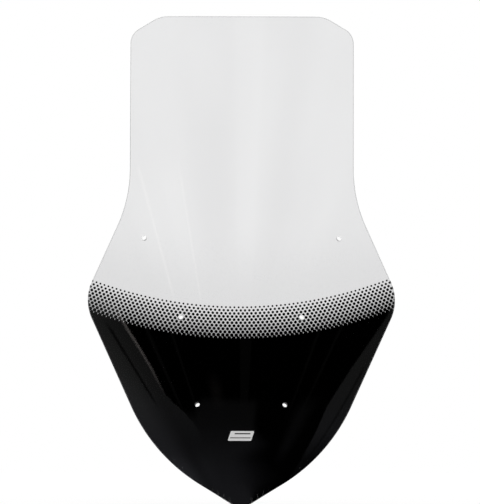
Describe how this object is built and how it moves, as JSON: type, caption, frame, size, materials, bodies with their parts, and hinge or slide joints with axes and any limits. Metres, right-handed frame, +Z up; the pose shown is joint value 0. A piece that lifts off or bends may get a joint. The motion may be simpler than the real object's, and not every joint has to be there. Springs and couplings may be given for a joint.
{
  "type": "motorcycle windshield screen",
  "caption": "Formed clear acrylic windshield screen for a motorcycle, flared below its waist, printed black on the back of the lower half with a dotted fade, and drilled for bracket bolts.",
  "frame": {"origin": "centre of the bounding box, on the plane of symmetry", "axes": "+Z up as fitted, leaning back; the front, which meets the wind, faces -Y and the rider sits on the +Y side; X = 0 is the plane of symmetry and +X is the right-hand side seen from the front"},
  "size_m": [0.422, 0.3282, 0.6728],
  "materials": {
    "clear_acrylic": "polished transparent acrylic with flame-polished edges",
    "black_ink": "deep gloss black seen through the sheet, satin from behind",
    "halftone_ink": "black dots on the back of the clear sheet",
    "badge_white": "thin white decal"
  },
  "bodies": {
    "root": {"screen_panel": "clear_acrylic", "black_ink_mask": "black_ink", "halftone_ink_band": "halftone_ink", "badge_decal": "badge_white"}
  },
  "joints": []
}
